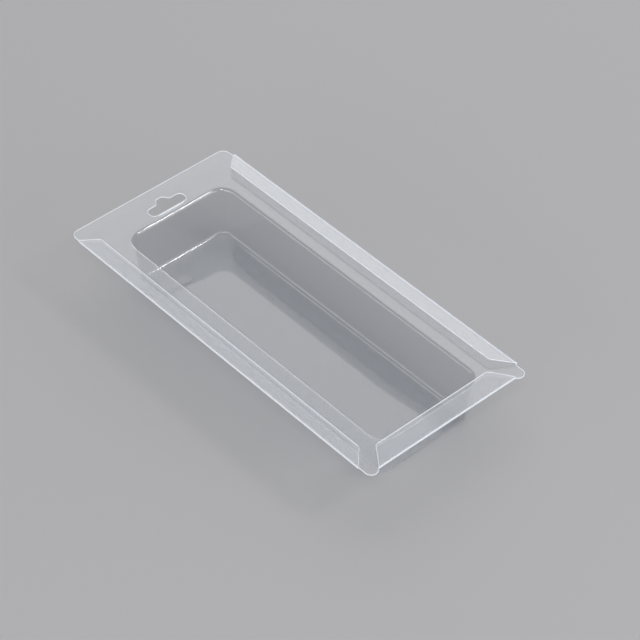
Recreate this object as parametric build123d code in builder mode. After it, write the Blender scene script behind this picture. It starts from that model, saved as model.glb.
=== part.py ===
"""Slide blister pack: one sheet of clear film, drawn into a deep tray with a wide flange.

Three edges of the flange are folded back over it as flaps, which hold a card that slides in
from the end with the hang hole. X runs across the pack, Y along it towards the hang hole, and
Z up from the underside of the tray's floor. Sizes are in millimetres.
"""

import os
from math import cos, radians, sin, sqrt, tan

from build123d import *

# Film and overall size
film = 0.4              # thickness of the sheet
pack_width = 100.0      # over the two side folds
pack_length = 219.0     # from the hang end's edge to the tips of the near tongues

# Tray
depth = 27.0            # from the flange's top face to the inside of the floor
draft_angle = 7.0       # lean of the walls, in degrees
side_margin = 19.2      # from a side fold to the tray's mouth
near_margin = 11.4      # from the near fold to the tray's mouth
mouth_corner = 8.0      # plan radius of the mouth's corners
rim_bend = 2.3          # radius of the rim's roll, on the card's side
floor_bend = 2.0        # radius between wall and floor, inside the tray

# Flange corners
far_corner = 4.5        # radius of the hang end's corners
tongue_radius = 3.5     # radius of the tongues beside the near fold
tongue_reach = 1.2      # how far the tongues stand past the near fold

# Hang hole: a slot with a peak towards the edge, which centres it on a hook
hang_margin = 8.1       # from the hang end's edge to the peak
peak_height = 3.4
peak_width = 8.4        # across the foot of the peak
peak_slope = 55.0       # lean of its flanks, in degrees
peak_round = 1.5
peak_root = 1.0
slot_width = 22.2
slot_height = 6.4
slot_corner = 2.8
hang_web = 1.6          # strip of flat film left between the slot and the rim's roll

# Folds and flaps
fold_radius = 0.4       # inside radius of each fold
fold_far_gap = 7.9      # from the hang end's edge to the side folds
fold_near_gap = 7.9     # from the tongues' tips to the side folds
leaf_corner = 3.0       # rounding of the flaps' free corners
right_leaf = 9.8        # width of each flap, from its fold to its free edge
left_leaf = 8.1
near_leaf = 10.5
right_spring = 13.8     # how far each flap has sprung open again, in degrees
left_spring = 1.2
near_spring = 2.8
side_end_cut = 8.6      # how far a flap's end slants back along its free edge
left_far_cut = 6.3
near_end_cut = 7.6

fold_reach = fold_radius + film
flange_half = pack_width / 2 - fold_reach
far_edge = pack_length / 2
near_tip = -pack_length / 2
near_fold = near_tip + tongue_reach
near_edge = near_fold + fold_reach
flange_top = film + depth
flange_under = depth

# The mouth is where the sloping walls would meet the flange's top face with no rim roll.
roll_reach = rim_bend * tan(radians(90 - draft_angle) / 2)
slot_top = far_edge - hang_margin - peak_height
slot_bottom = slot_top - slot_height
mouth_far = slot_bottom - hang_web - roll_reach
mouth_near = near_fold + near_margin
mouth_length = mouth_far - mouth_near
mouth_width = pack_width - 2 * side_margin
mouth_middle = (mouth_far + mouth_near) / 2
wall_offset = film / cos(radians(draft_angle))


def forming_block(width, length, corner, height, floor_radius):
    """Solid of a tray standing on its mouth: leaning walls, rounded where they meet the floor."""
    with BuildPart() as block:
        with BuildSketch():
            RectangleRounded(width, length, corner)
        extrude(amount=height, taper=draft_angle)
        fillet(block.faces().sort_by(Axis.Z)[-1].edges(), floor_radius)
    return block.part


tray_inside = forming_block(mouth_width, mouth_length, mouth_corner, depth, floor_bend)
tray_outside = forming_block(
    mouth_width + 2 * wall_offset,
    mouth_length + 2 * wall_offset,
    mouth_corner + wall_offset,
    flange_top,
    floor_bend + film,
)
tray_place = Location((0, mouth_middle, flange_top), (180, 0, 0))

# Each fold starts on an edge face of the flange: local X along the fold, Y up, Z outwards.
side_fold_near = near_tip + fold_near_gap
side_fold_far = far_edge - fold_far_gap
side_fold_middle = (side_fold_near + side_fold_far) / 2
side_fold_half = (side_fold_far - side_fold_near) / 2
sheet_middle = flange_top - film / 2
tongue_middle_x = flange_half - tongue_radius
tongue_middle_y = near_tip + tongue_radius
tongue_chord = sqrt(tongue_radius**2 - (near_edge - tongue_middle_y) ** 2)
near_fold_half = tongue_middle_x - tongue_chord

right_edge = Plane((flange_half, side_fold_middle, sheet_middle), x_dir=(0, 1, 0), z_dir=(1, 0, 0))
left_edge = Plane((-flange_half, side_fold_middle, sheet_middle), x_dir=(0, -1, 0), z_dir=(-1, 0, 0))
bottom_edge = Plane((0, near_edge, sheet_middle), x_dir=(1, 0, 0), z_dir=(0, -1, 0))

# Edge, half length of the fold, flap width, spring angle, end cuts at local -X and +X
flaps = [
    (right_edge, side_fold_half, right_leaf, right_spring, side_end_cut, side_end_cut),
    (left_edge, side_fold_half, left_leaf, left_spring, left_far_cut, side_end_cut),
    (bottom_edge, near_fold_half, near_leaf, near_spring, near_end_cut, near_end_cut),
]

with BuildPart() as blister_shell:
    # Flange: a plate up to the three fold lines, with a round tongue at each near corner
    with BuildSketch(Plane.XY.offset(flange_under)) as flange:
        with Locations((0, (far_edge + tongue_middle_y) / 2)):
            Rectangle(2 * flange_half, far_edge - tongue_middle_y)
        fillet(flange.vertices().group_by(Axis.Y)[-1], far_corner)
        with Locations((0, (tongue_middle_y + near_edge) / 2)):
            Rectangle(2 * tongue_middle_x, tongue_middle_y - near_edge)
        with Locations((-tongue_middle_x, tongue_middle_y), (tongue_middle_x, tongue_middle_y)):
            Circle(tongue_radius)
    extrude(amount=film)

    # Tray: the outside is added and rolled into the flange, then the inside is taken out
    with Locations(tray_place):
        add(tray_outside)
    underside = blister_shell.faces().filter_by(Axis.Z).sort_by(Axis.Z)[1]
    fillet(underside.inner_wires()[0].edges(), rim_bend - film)
    with Locations(tray_place):
        add(tray_inside, mode=Mode.SUBTRACT)
    topside = blister_shell.faces().filter_by(Axis.Z).sort_by(Axis.Z)[-1]
    fillet(topside.inner_wires()[0].edges(), rim_bend)

    # Hang hole
    with BuildSketch(Plane.XY.offset(flange_under)) as hang_hole:
        with Locations((0, (slot_top + slot_bottom) / 2)):
            RectangleRounded(slot_width, slot_height, slot_corner)
        with Locations((0, slot_top)):
            Trapezoid(peak_width, peak_height, peak_slope, align=(Align.CENTER, Align.MIN))
        slot_line = hang_hole.vertices().group_by(Axis.Y)[-2]
        fillet(slot_line.sort_by_distance((0, slot_top))[:2], peak_root)
        fillet(hang_hole.vertices().group_by(Axis.Y)[-1], peak_round)
    extrude(amount=film, mode=Mode.SUBTRACT)

    # Flaps: the flange's edge is turned round its fold line, then runs on as a flat leaf
    for edge, half, leaf_width, spring, left_cut, right_cut in flaps:
        fold_line = edge.from_local_coords(Vector(0, film / 2 + fold_radius, 0))
        with BuildSketch(edge):
            Rectangle(2 * half, film)
        revolve(axis=Axis(fold_line, -edge.x_dir), revolution_arc=180 - spring)
        leaf_normal = edge.y_dir * cos(radians(spring)) + edge.z_dir * sin(radians(spring))
        leaf_plane = Plane(fold_line + leaf_normal * fold_radius, x_dir=edge.x_dir, z_dir=leaf_normal)
        with BuildSketch(leaf_plane) as leaf:
            with BuildLine():
                Polyline(
                    (-half, 0),
                    (half, 0),
                    (half - right_cut, leaf_width),
                    (-half + left_cut, leaf_width),
                    close=True,
                )
            make_face()
            fillet(leaf.vertices().group_by(Axis.Y)[-1], leaf_corner)
        extrude(amount=film)

blister_shell.part.label = "blister_shell"
os.makedirs("parts", exist_ok=True)
export_step(blister_shell.part, "parts/blister_shell.step")
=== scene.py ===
"""Looks of the slide blister pack: the folded film sheet, its finish, and a plain studio round it."""

from math import cos, radians, sin, sqrt, tan

import bpy
import numpy as np
from mathutils import Matrix, Vector
from mathutils.geometry import delaunay_2d_cdt


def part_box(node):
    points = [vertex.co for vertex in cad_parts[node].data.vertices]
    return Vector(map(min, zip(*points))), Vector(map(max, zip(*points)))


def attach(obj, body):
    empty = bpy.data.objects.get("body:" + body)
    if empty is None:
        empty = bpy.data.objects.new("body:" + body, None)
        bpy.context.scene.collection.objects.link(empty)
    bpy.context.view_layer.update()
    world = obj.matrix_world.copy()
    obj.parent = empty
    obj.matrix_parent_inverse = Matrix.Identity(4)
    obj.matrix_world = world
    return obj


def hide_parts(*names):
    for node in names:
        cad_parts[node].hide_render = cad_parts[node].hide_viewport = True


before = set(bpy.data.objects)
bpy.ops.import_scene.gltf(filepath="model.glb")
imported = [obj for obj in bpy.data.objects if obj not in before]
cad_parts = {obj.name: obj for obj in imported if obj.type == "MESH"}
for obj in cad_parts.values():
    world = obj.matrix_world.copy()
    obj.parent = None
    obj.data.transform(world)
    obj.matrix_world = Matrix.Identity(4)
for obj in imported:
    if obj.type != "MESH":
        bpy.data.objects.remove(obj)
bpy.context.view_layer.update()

# Tray
# The deep middle of a sheet of clear PET film, drawn into a mould while hot: a floor, leaning walls, and a
# rim rolled into the flange. Sizes are in millimetres, on the side of the film that faces the card.
MM = 0.001
low, high = (np.round(np.array(corner) / MM, 3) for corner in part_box("blister_shell"))
film = 0.4              # thickness of the sheet
depth = 27.0            # from the flange's top face to the inside of the floor
draft = radians(7.0)    # lean of the walls
side_margin = 19.2      # from a side fold to the tray's mouth
near_margin = 11.4      # from the near fold to the tray's mouth
hang_margin = 8.1       # from the hang end's edge to the hang hole's peak
peak_height = 3.4
slot_height = 6.4
hang_web = 1.6          # strip of flat film between the hang hole and the rim's roll
tongue_reach = 1.2      # how far the near tongues stand past the near fold
mouth_corner = 8.0
rim_bend = 2.3
floor_bend = 2.0
floor_crown = 0.6       # bulge of the floor, left by cooling
crown_run = 34.0        # distance from each short end over which the floor rises

flange_top = film + depth
roll_reach = rim_bend * tan((np.pi / 2 - draft) / 2)
slot_top = high[1] - hang_margin - peak_height
slot_bottom = slot_top - slot_height
near_fold = low[1] + tongue_reach
mouth_far = slot_bottom - hang_web - roll_reach
mouth_near = near_fold + near_margin
mouth_middle = (mouth_far + mouth_near) / 2
core_x = high[0] - side_margin - mouth_corner
core_y = (mouth_far - mouth_near) / 2 - mouth_corner

side_steps, end_steps, corner_steps = 84, 23, 18
bend_steps, wall_steps = 12, 14


def rounded_path():
    """Goes once round a rectangle: the points of the rectangle itself, and the outward direction at each.

    Along a side the point moves and the direction stands still; at a corner the point stands still and
    the direction turns by a right angle, so point + r * direction is a rectangle with corners of radius r.
    """
    along = np.linspace(-core_y, core_y, side_steps + 1)[:-1]
    across = np.linspace(-core_x, core_x, end_steps + 1)[:-1]
    turn = np.linspace(0, np.pi / 2, corner_steps + 1)[:-1]
    corners = np.array([[core_x, core_y], [-core_x, core_y], [-core_x, -core_y], [core_x, -core_y]])
    travels = np.array([[0, 1], [-1, 0], [0, -1], [1, 0]])
    sides = zip(corners, travels, [along, across, along, across])
    point, angle = [], []
    for quarter, (corner, travel, stretch) in enumerate(sides):
        straight = corner + travel * (stretch[:, None] - abs(corner @ travel))
        point += [straight, np.repeat(corner[None], corner_steps, 0)]
        angle += [np.full(len(stretch), quarter * np.pi / 2), quarter * np.pi / 2 + turn]
    angle = np.concatenate(angle)
    return np.concatenate(point) + [0, mouth_middle], np.stack([np.cos(angle), np.sin(angle)], 1)


def grid_triangles(rows, columns, closed=False):
    """Two triangles for each cell of a grid of rows x columns points.

    A closed grid joins its last column to its first.
    """
    index = np.arange(rows * columns).reshape(rows, columns)
    if closed:
        index = np.concatenate([index, index[:, :1]], 1)
    a, b, c, d = index[:-1, :-1], index[:-1, 1:], index[1:, 1:], index[1:, :-1]
    return np.concatenate([np.stack([a, b, c], -1).reshape(-1, 3), np.stack([a, c, d], -1).reshape(-1, 3)])


def unmarked(points):
    """Marks of points with neither a crease nor a cut edge: two zeros for each."""
    return np.zeros((len(points), 2))


def tray_profile():
    """Section from the flange to the tray's floor: offset from the mouth, height, and the normal's angle.

    The roll is an arc about a point below the flange, the wall a straight line leaning by the draft angle,
    and the floor's bend an arc about a point above the floor. The normal's angle runs from straight up
    (a right angle) down to the draft angle along the roll, and back up again along the floor's bend.
    """
    roll = np.linspace(np.pi / 2, draft, bend_steps + 1)
    roll_offset = roll_reach - rim_bend * np.cos(roll)
    roll_height = flange_top - rim_bend + rim_bend * np.sin(roll)
    bend = np.linspace(draft, np.pi / 2, bend_steps + 1)
    bend_height = film + floor_bend
    bend_offset = -(flange_top - bend_height) * tan(draft) - floor_bend / cos(draft)
    low_offset = bend_offset + floor_bend * np.cos(bend)
    low_height = bend_height - floor_bend * np.sin(bend)
    share = np.linspace(0, 1, wall_steps + 1)[1:-1]
    wall_offset = roll_offset[-1] + share * (low_offset[0] - roll_offset[-1])
    wall_height = roll_height[-1] + share * (low_height[0] - roll_height[-1])
    offset = np.concatenate([roll_offset, wall_offset, low_offset, [-mouth_corner]])
    height = np.concatenate([roll_height, wall_height, low_height, [film]])
    angle = np.concatenate([roll, np.full(len(share), draft), bend, [np.pi / 2]])
    return offset, height, angle


def tray_surface():
    """The section carried round the mouth's rounded rectangle.

    A point's plan place is the rectangle's point + (corner radius + the section's offset) * direction.
    """
    core, direction = rounded_path()
    offset, height, angle = tray_profile()
    plan = core + (mouth_corner + offset)[:, None, None] * direction
    tall = np.broadcast_to(height[:, None, None], plan.shape[:2] + (1,))
    lean = -np.cos(angle)[:, None, None] * direction
    rise = np.broadcast_to(np.sin(angle)[:, None, None], plan.shape[:2] + (1,))
    points = np.concatenate([plan, tall], -1).reshape(-1, 3)
    normals = np.concatenate([lean, rise], -1).reshape(-1, 3)
    return points, normals, unmarked(points), grid_triangles(*plan.shape[:2], closed=True)


def swell(half, reach, steps):
    """Places along a span, a rise from 0 at both its ends to 1 at the given reach from them, and its slope.

    The rise is the squared sine of a quarter turn times the gap to the nearer end over the reach.
    """
    place = np.linspace(-half, half, steps + 1)
    turn = np.pi / 2 * np.minimum((half - abs(place)) / reach, 1)
    return place, np.sin(turn) ** 2, -np.sign(place) * np.pi / 2 / reach * np.sin(2 * turn)


def tray_floor():
    """Rectangle inside the floor's bends, on the same steps as the rounded rectangle's sides.

    The floor cooled slightly crowned: its height is the crown times a swell across times a swell along.
    """
    x, rise_x, slope_x = swell(core_x, core_x, end_steps)
    y, rise_y, slope_y = swell(core_y, crown_run, side_steps)
    x, y = np.meshgrid(x, y + mouth_middle)
    points = np.stack([x, y, film + floor_crown * rise_y[:, None] * rise_x], -1).reshape(-1, 3)
    lean_x = -floor_crown * rise_y[:, None] * slope_x
    lean_y = -floor_crown * slope_y[:, None] * rise_x
    normals = np.stack([lean_x, lean_y, np.ones_like(x)], -1).reshape(-1, 3)
    normals /= np.linalg.norm(normals, axis=1, keepdims=True)
    return points, normals, unmarked(points), grid_triangles(*x.shape)


# Flange
# The flat of the sheet round the tray, die-cut to its outline: square corners rounded off at the hang end,
# a small tongue at each near corner, and a peaked hang hole. The three long edges are fold lines.
fold_radius = 0.4       # inside radius of each fold
far_corner = 4.5
tongue_radius = 3.5
slot_width = 22.2
slot_corner = 2.8
peak_width = 8.4        # across the foot of the peak
peak_slope = radians(55.0)
peak_round = 1.5
peak_root = 1.0
fold_far_gap = 7.9      # from the hang end's edge to the side folds
fold_near_gap = 7.9     # from the tongues' tips to the side folds

fold_reach = fold_radius + film
flange_half = high[0] - fold_reach
near_edge = near_fold + fold_reach
fold_near_end = low[1] + fold_near_gap
fold_far_end = high[1] - fold_far_gap
tongue_x = flange_half - tongue_radius
tongue_y = low[1] + tongue_radius
near_fold_half = tongue_x - sqrt(tongue_radius**2 - (near_edge - tongue_y) ** 2)

side_fold_steps, near_fold_steps = 100, 42
hang_end_steps, side_rest_steps = 40, 4
far_corner_steps, tongue_steps, hole_corner_steps = 12, 20, 8
lattice_pitch = 2.6
# The strip is where a painted edge glow goes on the film's faces, beside the cut.
edge_strip = 0.4        # width of the strip along a cut edge that its mark covers
point_gap = 1e-6        # points closer than this are one to the triangulation
whole_hull = 0          # the triangulation's output type: triangles over the points' convex hull


def fold_shares(length, steps):
    """Shares of a fold's length: evenly spaced, but for a narrow strip at each end."""
    return np.concatenate([[0], np.linspace(edge_strip, length - edge_strip, steps - 1), [length]]) / length


def run(start, end, share):
    """Points on a straight line at the given shares of its length, without the last one."""
    share = np.asarray(share)[:-1, None]
    return np.array(start) * (1 - share) + np.array(end) * share


def arc(centre, radius, start, end, steps):
    """Points on an arc between two angles in degrees, without its last one."""
    angle = np.radians(np.linspace(start, end, steps + 1)[:-1])
    return np.array(centre) + radius * np.stack([np.cos(angle), np.sin(angle)], 1)


def rounded_corner(before, corner, after, radius):
    """Points of the arc that is tangent to both sides of a corner.

    Its centre is on the corner's bisector, and its ends are on the two sides.
    """
    before, corner, after = (np.array(p, float) for p in (before, corner, after))
    back = (before - corner) / np.linalg.norm(before - corner)
    ahead = (after - corner) / np.linalg.norm(after - corner)
    half = np.arccos(np.clip(back @ ahead, -1, 1)) / 2
    bisector = (back + ahead) / np.linalg.norm(back + ahead)
    centre = corner + bisector * radius / sin(half)
    start = corner + back * radius / tan(half) - centre
    sweep = np.sign(back[1] * ahead[0] - back[0] * ahead[1]) * (np.pi - 2 * half)
    turn = np.arctan2(start[1], start[0]) + np.linspace(0, 1, hole_corner_steps + 1) * sweep
    return centre + radius * np.stack([np.cos(turn), np.sin(turn)], 1)


def flange_outline():
    """Once round the flange, counter-clockwise from the near end of the right fold.

    It is made of straight runs and arcs: fold lines, far corners, the hang end's edge and the two tongues.
    """
    notch = np.degrees(np.arcsin((near_edge - tongue_y) / tongue_radius))
    side_shares = fold_shares(fold_far_end - fold_near_end, side_fold_steps)
    near_shares = fold_shares(2 * near_fold_half, near_fold_steps)
    rest_shares = np.linspace(0, 1, side_rest_steps + 1)
    hang_shares = np.linspace(0, 1, hang_end_steps + 1)
    return np.concatenate([
        run((flange_half, fold_near_end), (flange_half, fold_far_end), side_shares),
        run((flange_half, fold_far_end), (flange_half, high[1] - far_corner), rest_shares),
        arc((flange_half - far_corner, high[1] - far_corner), far_corner, 0, 90, far_corner_steps),
        run((flange_half - far_corner, high[1]), (far_corner - flange_half, high[1]), hang_shares),
        arc((far_corner - flange_half, high[1] - far_corner), far_corner, 90, 180, far_corner_steps),
        run((-flange_half, high[1] - far_corner), (-flange_half, fold_far_end), rest_shares),
        run((-flange_half, fold_far_end), (-flange_half, fold_near_end), side_shares),
        run((-flange_half, fold_near_end), (-flange_half, tongue_y), rest_shares),
        arc((-tongue_x, tongue_y), tongue_radius, 180, 360 + notch, tongue_steps),
        run((-near_fold_half, near_edge), (near_fold_half, near_edge), near_shares),
        arc((tongue_x, tongue_y), tongue_radius, 180 - notch, 360, tongue_steps),
        run((flange_half, tongue_y), (flange_half, fold_near_end), rest_shares),
    ])


def hang_hole_outline():
    """Slot with rounded ends and a peak towards the edge: eight corners, each rounded by its own radius."""
    half, foot = slot_width / 2, peak_width / 2
    tip = foot - peak_height / tan(peak_slope)
    peak = slot_top + peak_height
    corners = [(-half, slot_bottom), (half, slot_bottom), (half, slot_top), (foot, slot_top),
               (tip, peak), (-tip, peak), (-foot, slot_top), (-half, slot_top)]
    radii = [slot_corner] * 3 + [peak_root, peak_round, peak_round, peak_root, slot_corner]
    before = corners[-1:] + corners[:-1]
    after = corners[1:] + corners[:1]
    return np.concatenate([rounded_corner(*place) for place in zip(before, corners, after, radii)])


def inside(points, loop):
    """Even-odd rule: inside a loop, a ray along +X crosses the loop an odd number of times.

    The ray crosses a side that spans its height, where the side's line at that height is to the right.
    """
    start, end = loop, np.roll(loop, -1, 0)
    x, y = points[:, :1], points[:, 1:]
    spans = (start[:, 1] > y) != (end[:, 1] > y)
    height = np.where(end[:, 1] == start[:, 1], 1, end[:, 1] - start[:, 1])
    crossing = start[:, 0] + (y - start[:, 1]) / height * (end[:, 0] - start[:, 0])
    return (spans & (x < crossing)).sum(1) % 2 == 1


def beside(loop, gap):
    """The loop moved by a gap to the left of its travel.

    Each point goes along the normal of the line from the point before it to the point after it.
    """
    travel = np.roll(loop, -1, 0) - np.roll(loop, 1, 0)
    travel /= np.linalg.norm(travel, axis=1, keepdims=True)
    return loop + gap * np.stack([-travel[:, 1], travel[:, 0]], 1)


def flange_surface():
    """Flat sheet between its outline, the rim's ring and the hang hole.

    A square lattice of points is triangulated with the three loops, and the triangles between them stay. A
    second row of points beside each cut edge keeps what marks that edge in a narrow strip.
    """
    core, direction = rounded_path()
    loops = [flange_outline(), core + (mouth_corner + roll_reach) * direction, hang_hole_outline()]
    strips = np.concatenate([beside(loops[0], edge_strip), beside(loops[2], -edge_strip)])
    x = np.arange(-flange_half, flange_half, lattice_pitch)
    y = np.arange(low[1], high[1], lattice_pitch)
    lattice = np.stack(np.meshgrid(x, y), -1).reshape(-1, 2)
    edge_points = np.concatenate(loops)
    gap = np.sqrt(((lattice[:, None] - edge_points[None]) ** 2).sum(-1)).min(1)
    lattice = lattice[(gap > lattice_pitch / 2) & inside(lattice, loops[0])]
    lattice = lattice[~inside(lattice, loops[1]) & ~inside(lattice, loops[2])]
    plan = np.concatenate([edge_points, strips, lattice])
    edges, first = [], 0
    for loop in loops:
        index = first + np.arange(len(loop))
        edges += list(zip(index.tolist(), np.roll(index, -1).tolist()))
        first += len(loop)
    places = [Vector(p) for p in plan.tolist()]
    _, _, faces, sources, _, _ = delaunay_2d_cdt(places, edges, [], whole_hull, point_gap)
    triangles = np.array([source[0] for source in sources])[np.array(faces)]
    middle = plan[triangles].mean(1)
    kept = inside(middle, loops[0]) & ~inside(middle, loops[1]) & ~inside(middle, loops[2])
    points = np.concatenate([plan, np.full((len(plan), 1), flange_top)], 1)
    return points, np.tile([0.0, 0.0, 1.0], (len(points), 1)), unmarked(points), triangles[kept]


# Flaps
# The two long edges and the near edge of the sheet, creased while warm and folded back over the flange to
# hold a card. Each has sprung open a little, and its ends are cut on a slant with a rounded free corner.
right_leaf = 9.8        # width of each flap, from its fold to its free edge
left_leaf = 8.1
near_leaf = 10.5
right_spring = radians(13.8)
left_spring = radians(1.2)
near_spring = radians(2.8)
side_end_cut = 8.6      # how far a flap's end slants back along its free edge
left_far_cut = 6.3
near_end_cut = 7.6
leaf_corner = 3.0
crease_steps, leaf_steps, corner_rows = 14, 6, 7


def end_inset(reach, leaf, cut):
    """How far a flap's end stands in from its fold's end, at each distance from the fold.

    A straight slant of cut over the leaf's width, then a quarter turn into the free edge about a point
    leaf_corner below that edge and leaf_corner away from the slant.
    """
    slope = cut / leaf
    length = sqrt(1 + slope**2)
    centre = (leaf - leaf_corner) * slope + leaf_corner * length
    tangent = leaf - leaf_corner + leaf_corner * slope / length
    drop = np.clip(leaf_corner**2 - (reach - leaf + leaf_corner) ** 2, 0, None)
    return np.where(reach < tangent, reach * slope, centre - np.sqrt(drop))


def flap_surface(start, end, outward, leaf, spring, start_cut, end_cut, steps):
    """Fold and leaf of one flap, on a grid of steps along the fold and rows across it.

    Across: an arc of fold_radius about the fold line, from the flange's top face round by a half turn less
    the spring angle, then a straight leaf. Along: evenly spaced between the flap's two ends. The crease is
    marked by the sine of the turn, less a line that brings it to 0 at the leaf, and the edge by how close
    a point is to it, over the strip's width.
    """
    start, end, outward = (np.array(p, float) for p in (start, end, outward))
    turn = np.linspace(0, np.pi - spring, crease_steps + 1)
    flat = np.linspace(0, leaf - leaf_corner, leaf_steps + 1)[1:]
    round_off = leaf - leaf_corner + leaf_corner * np.sin(np.linspace(0, np.pi / 2, corner_rows + 1)[1:])
    reach = np.concatenate([np.zeros(crease_steps + 1), flat, round_off])
    turn = np.concatenate([turn, np.full(leaf_steps + corner_rows, turn[-1])])
    out = fold_radius * np.sin(turn) + reach * np.cos(turn)
    up = fold_radius * (1 - np.cos(turn)) + reach * np.sin(turn)
    length = np.linalg.norm(end - start)
    inset_start, inset_end = end_inset(reach, leaf, start_cut), end_inset(reach, leaf, end_cut)
    share = fold_shares(length, steps)
    along = inset_start[:, None] + share * (length - inset_start - inset_end)[:, None]
    plan = start + along[..., None] * (end - start) / length + out[:, None, None] * outward
    tall = np.broadcast_to(flange_top + up[:, None, None], plan.shape[:2] + (1,))
    lean = np.broadcast_to(-np.sin(turn)[:, None, None] * outward, plan.shape)
    rise = np.broadcast_to(np.cos(turn)[:, None, None], plan.shape[:2] + (1,))
    points = np.concatenate([plan, tall], -1).reshape(-1, 3)
    normals = np.concatenate([lean, rise], -1).reshape(-1, 3)
    crease = np.where(reach > 0, 0, np.sin(turn) - sin(turn[-1]) * turn / turn[-1])
    rim_gap = np.minimum((leaf - reach)[:, None], np.minimum(share, 1 - share) * length)
    edge = np.clip(1 - rim_gap / edge_strip, 0, 1)
    marks = np.stack([np.broadcast_to(crease[:, None], plan.shape[:2]), edge], -1)
    return points, normals, marks.reshape(-1, 2), grid_triangles(*plan.shape[:2])


right_flap = flap_surface(
    (flange_half, fold_near_end), (flange_half, fold_far_end), (1, 0),
    right_leaf, right_spring, start_cut=side_end_cut, end_cut=side_end_cut, steps=side_fold_steps,
)
left_flap = flap_surface(
    (-flange_half, fold_far_end), (-flange_half, fold_near_end), (-1, 0),
    left_leaf, left_spring, start_cut=left_far_cut, end_cut=side_end_cut, steps=side_fold_steps,
)
near_flap = flap_surface(
    (-near_fold_half, near_edge), (near_fold_half, near_edge), (0, -1),
    near_leaf, near_spring, start_cut=near_end_cut, end_cut=near_end_cut, steps=near_fold_steps,
)


# Whole sheet
# Tray, flange and flaps are one piece of film, so their surfaces are welded into one sheet. It gets its
# thickness on the side away from the card, and a cut face all along its free edges.
weld_size = 0.001
weld_shift = 0.37


def welded(patches):
    """Joins patches into one surface: points in the same cell of a fine grid become one, and slivers go.

    The grid is shifted by a share of a cell, so that no round coordinate lies on a border of two cells.
    """
    points, normals, marks, _ = (np.concatenate(part) for part in zip(*patches))
    count = np.cumsum([0] + [len(patch[0]) for patch in patches])
    triangles = np.concatenate([patch[3] + first for patch, first in zip(patches, count)])
    cell = np.floor(points / weld_size + weld_shift)
    _, first, index = np.unique(cell, axis=0, return_index=True, return_inverse=True)
    points, normals, marks = points[first], normals[first], marks[first]
    triangles = index.reshape(-1)[triangles]
    a, b, c = triangles.T
    triangles = triangles[(a != b) & (b != c) & (c != a)]
    corner = points[triangles]
    facing = np.cross(corner[:, 1] - corner[:, 0], corner[:, 2] - corner[:, 0])
    wrong = (facing * normals[triangles].sum(1)).sum(1) < 0
    triangles[wrong] = triangles[wrong][:, ::-1]
    used, index = np.unique(triangles, return_inverse=True)
    return points[used], normals[used], marks[used], index.reshape(-1, 3)


def free_edges(triangles):
    """The directed edges that belong to one triangle only: the outline of the sheet and of its hole."""
    edges = np.concatenate([triangles[:, [0, 1]], triangles[:, [1, 2]], triangles[:, [2, 0]]])
    _, index, count = np.unique(np.sort(edges, 1), axis=0, return_inverse=True, return_counts=True)
    return edges[count[index.reshape(-1)] == 1]


def cut_face_normals(points, normals, a, b):
    """Normals at the corners of the two triangles under each free edge from a to b.

    Each leans from straight out of the sheet half way to the face it meets, so the edge shades as rounded.
    """
    outward = np.cross(points[b] - points[a], normals[a] + normals[b])
    outward /= np.linalg.norm(outward, axis=1, keepdims=True)
    top_a, top_b = outward + normals[a], outward + normals[b]
    under_a, under_b = outward - normals[a], outward - normals[b]
    made = np.concatenate([np.stack([top_b, top_a, under_a], 1), np.stack([top_b, under_a, under_b], 1)])
    return made / np.linalg.norm(made, axis=2, keepdims=True)


points, normals, marks, triangles = welded(
    [tray_surface(), tray_floor(), flange_surface(), right_flap, left_flap, near_flap]
)
rim = free_edges(triangles)
total = len(points)
a, b = rim.T
marks[rim.ravel(), 1] = 1
cut_faces = np.concatenate([np.stack([b, a, a + total], 1), np.stack([b, a + total, b + total], 1)])
faces = np.concatenate([triangles, triangles[:, ::-1] + total, cut_faces])
vertices = np.concatenate([points, points - film * normals]) * MM
cut_normals = cut_face_normals(points, normals, a, b)
face_normals = np.concatenate([normals[triangles], -normals[triangles[:, ::-1]], cut_normals])

mesh = bpy.data.meshes.new("film_sheet")
mesh.from_pydata(vertices.tolist(), [], faces.tolist())
mesh.polygons.foreach_set("use_smooth", np.ones(len(faces), bool))
mesh.polygons.foreach_set("material_index", np.repeat([0, 1], [2 * len(triangles), len(cut_faces)]))
mesh.normals_split_custom_set(face_normals.reshape(-1, 3).tolist())
for name, values in zip(("crease", "edge"), marks.T):
    mark = mesh.attributes.new(name, "FLOAT", "POINT")
    mark.data.foreach_set("value", np.tile(values, 2))
sheet = bpy.data.objects.new("film_sheet", mesh)
bpy.context.scene.collection.objects.link(sheet)

film_index = 1.56                           # refractive index
film_tint = (0.915, 0.923, 0.934, 1)        # what one face lets through
# Colour of the pale scatter at creases and cut edges: partly real whitening, partly painted highlight and
# glow.
pale_tint = (0.90, 0.93, 0.98, 1)
pale_through = 0.2                          # share of the scattered light that goes on through the film
ripple = {"Scale": 22.0, "Detail": 2.0, "Roughness": 0.4}
ripple_height = 0.0001
haze = {"Scale": 45.0, "Detail": 3.0, "Roughness": 0.5}
polish = {"To Min": 0.03, "To Max": 0.09}   # roughness from the clearest to the haziest film
crease_roughness = 0.45
# Pale scatter along the folds: partly the real whitening of creased film, partly a painted highlight
# standing in for the bright line that light makes along each fold.
crease_whitening_and_highlight = {"From Max": 0.8, "To Max": 0.8}  # share of scattered light, from the crease's mark
# Pale scatter along the cut edges: partly the real scatter of the cut, partly a painted glow of light piped
# out at the edge.
edge_scatter_and_glow = {"From Max": 0.6, "To Max": 0.95}


def node_material(name):
    """New material with an empty node tree."""
    material = bpy.data.materials.new(name)
    material.use_nodes = True
    material.node_tree.nodes.clear()
    return material, material.node_tree


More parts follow.
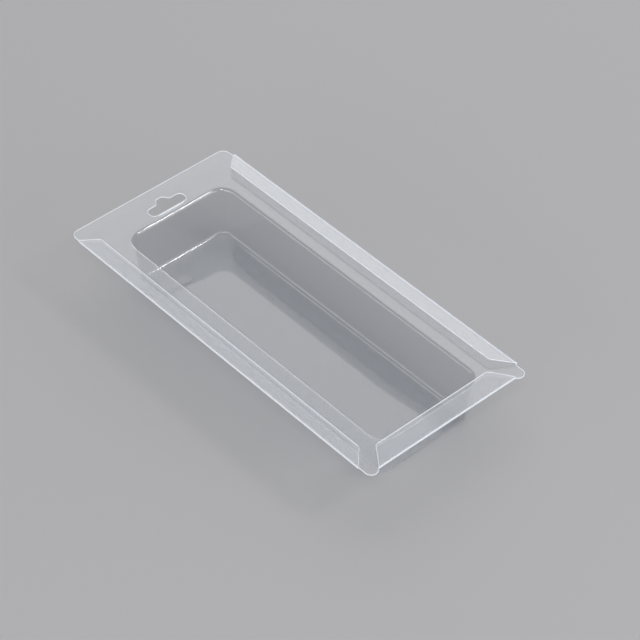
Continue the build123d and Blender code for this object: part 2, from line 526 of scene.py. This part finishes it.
def add(tree, kind, inputs, **settings):
    """Adds a node and returns its first output.

    An input that is given a socket is linked to it, and any other is set.
    """
    node = tree.nodes.new(kind)
    for name, value in settings.items():
        setattr(node, name, value)
    for name, value in inputs.items():
        if isinstance(value, bpy.types.NodeSocket):
            tree.links.new(value, node.inputs[name])
        else:
            node.inputs[name].default_value = value
    return node.outputs[0]


def put_out(tree, shader):
    """Makes a shader the material's surface."""
    output = tree.nodes.new("ShaderNodeOutputMaterial")
    tree.links.new(shader, output.inputs["Surface"])


def mark_value(tree, name):
    """Output of a node that reads one of the sheet's two marks."""
    node = tree.nodes.new("ShaderNodeAttribute")
    node.attribute_name = name
    return node.outputs["Fac"]


def pale_scatter(tree):
    """Pale scatter of creases and cut edges, partly real whitening and partly painted highlight and glow:
    most light is thrown back and some goes through, both spread out.
    """
    thrown_back = add(tree, "ShaderNodeBsdfDiffuse", {"Color": pale_tint})
    let_through = add(tree, "ShaderNodeBsdfTranslucent", {"Color": pale_tint})
    return add(tree, "ShaderNodeMixShader", {0: pale_through, 1: thrown_back, 2: let_through})


def clear_film():
    """Clear film: each face mirrors by Fresnel's law and lets the rest through with a faint cool tint.

    A ray meets the film's inner faces unbent, so there Fresnel gets the inverse of the film's index.
    Along the creases and the cut edges some of the light is scattered pale: partly the real crazing of
    creased and cut film, partly a painted highlight and glow standing in for the bright lines that light
    makes there.
    """
    material, tree = node_material("clear_film")
    crease, edge = mark_value(tree, "crease"), mark_value(tree, "edge")
    place = tree.nodes.new("ShaderNodeTexCoord").outputs["Object"]
    inner = tree.nodes.new("ShaderNodeNewGeometry").outputs["Backfacing"]
    height = add(tree, "ShaderNodeTexNoise", {"Vector": place, **ripple})
    wave = add(tree, "ShaderNodeBump", {"Strength": 1.0, "Distance": ripple_height, "Height": height})
    blur = add(tree, "ShaderNodeTexNoise", {"Vector": place, **haze})
    smooth = add(tree, "ShaderNodeMapRange", {"Value": blur, **polish})
    rough = add(tree, "ShaderNodeMapRange", {"Value": crease, "To Min": smooth, "To Max": crease_roughness})
    index = add(tree, "ShaderNodeMix", {"Factor": inner, "A": film_index, "B": 1 / film_index})
    mirrored = add(tree, "ShaderNodeFresnel", {"IOR": index, "Normal": wave})
    through = add(tree, "ShaderNodeBsdfTransparent", {"Color": film_tint})
    gloss = add(tree, "ShaderNodeBsdfGlossy", {"Color": (1, 1, 1, 1), "Roughness": rough, "Normal": wave})
    clear = add(tree, "ShaderNodeMixShader", {0: mirrored, 1: through, 2: gloss})
    # Painted highlight along the folds, partly real crease whitening.
    pale_crease_and_highlight = add(tree, "ShaderNodeMapRange", {"Value": crease, **crease_whitening_and_highlight})
    # Painted edge glow along the cut edges, partly real scatter of the cut.
    pale_edge_and_glow = add(tree, "ShaderNodeMapRange", {"Value": edge, **edge_scatter_and_glow})
    marked = add(tree, "ShaderNodeMath", {0: pale_crease_and_highlight, 1: pale_edge_and_glow}, operation="MAXIMUM")
    put_out(tree, add(tree, "ShaderNodeMixShader", {0: marked, 1: clear, 2: pale_scatter(tree)}))
    return material


def cut_edge():
    """Die-cut face of the film: pale scatter, partly the real scatter of the rough cut and partly a painted
    glow of the light piped out through the sheet's edge, so it reads as a pale line.
    """
    material, tree = node_material("cut_edge")
    put_out(tree, pale_scatter(tree))
    return material


mesh.materials.append(clear_film())
mesh.materials.append(cut_edge())
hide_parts("blister_shell")
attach(sheet, "root")

# Studio
# A plain pale floor just under the pack, soft panels and lamps round it, and an even pale surround. Clear
# film shows by what it mirrors, so each lamp stands where some face, bend or fold throws it to the camera.
floor_drop = 0.0003
floor_half = 4.0
floor_grey = (0.41, 0.41, 0.42, 1)
surround_white = (1, 1, 1, 1)
surround_strength = 0.25

corner = np.array([[-1, -1], [1, -1], [1, 1], [-1, 1]]) * floor_half
floor_mesh = bpy.data.meshes.new("floor")
floor_mesh.from_pydata([(x, y, -floor_drop) for x, y in corner.tolist()], [], [(0, 1, 2, 3)])
floor = bpy.data.objects.new("floor", floor_mesh)
bpy.context.scene.collection.objects.link(floor)
floor_paint, tree = node_material("floor_paint")
put_out(tree, add(tree, "ShaderNodeBsdfDiffuse", {"Color": floor_grey}))
floor_mesh.materials.append(floor_paint)

world = bpy.data.worlds.new("surround")
world.use_nodes = True
background = world.node_tree.nodes["Background"]
background.inputs["Color"].default_value = surround_white
background.inputs["Strength"].default_value = surround_strength
bpy.context.scene.world = world


def soft_lamp(name, direction, distance, size, brightness):
    """Area lamp at a distance from the pack in a direction, turned to face it.

    The size is its width and height in metres, and the brightness its radiance.
    """
    width, height = size
    lamp = bpy.data.lights.new(name, "AREA")
    lamp.shape = "RECTANGLE"
    lamp.size = width
    lamp.size_y = height
    lamp.energy = brightness * np.pi * width * height
    holder = bpy.data.objects.new(name, lamp)
    place = Vector(direction).normalized()
    holder.location = place * distance
    holder.rotation_euler = place.to_track_quat("Z", "Y").to_euler()
    holder.visible_camera = False
    bpy.context.scene.collection.objects.link(holder)


soft_lamp("back_panel", direction=(0.48, 0.55, 0.69), distance=1.6, size=(1.8, 1.8), brightness=1.5)
soft_lamp("flap_panel", direction=(0.747, 0.543, 0.40), distance=1.4, size=(0.8, 0.4), brightness=0.3)
soft_lamp("back_strip", direction=(0.67, 0.72, 0.15), distance=1.4, size=(1.0, 0.36), brightness=2.6)
soft_lamp("front_key", direction=(0.478, -0.52, 0.708), distance=1.5, size=(0.22, 0.22), brightness=24.0)
soft_lamp("front_panel", direction=(0.25, -0.93, 0.27), distance=1.6, size=(1.5, 0.7), brightness=3.2)
soft_lamp("left_panel", direction=(-0.95, -0.10, 0.25), distance=1.6, size=(1.4, 0.6), brightness=4.0)
soft_lamp("rim_lamp", direction=(-0.84, 0.52, 0.16), distance=1.4, size=(0.9, 0.5), brightness=1.8)
soft_lamp("corner_lamp", direction=(-0.44, -0.46, 0.77), distance=1.6, size=(0.32, 0.32), brightness=16.0)

# Camera
# Stands in front of the pack, to its left, and looks down on it; the lens is long, as in a product photo.
azimuth, elevation, roll = radians(-41.21), radians(43.45), radians(-0.44)
aim = Vector((0.0149, -0.0030, 0.0080))
distance = 1.223
camera_data = bpy.data.cameras.new("camera")
camera_data.sensor_width = 36.0
camera_data.lens = 142.07
camera = bpy.data.objects.new("camera", camera_data)
back = Vector((sin(azimuth) * cos(elevation), -cos(azimuth) * cos(elevation), sin(elevation)))
level = Vector((cos(azimuth), sin(azimuth), 0))
upright = back.cross(level)
right = cos(roll) * level + sin(roll) * upright
above = cos(roll) * upright - sin(roll) * level
turned = Matrix((right, above, back)).transposed().to_4x4()
camera.matrix_world = Matrix.Translation(aim + back * distance) @ turned
bpy.context.scene.collection.objects.link(camera)
bpy.context.scene.camera = camera

# A view through the pack crosses many faces of clear film, so its paths may be long.
cycles = bpy.context.scene.cycles
cycles.transparent_max_bounces = 32
cycles.min_transparent_bounces = 32
cycles.min_light_bounces = 6
cycles.sample_clamp_indirect = 1.0
cycles.denoising_input_passes = "RGB_ALBEDO"
bpy.context.scene.view_settings.view_transform = "Standard"
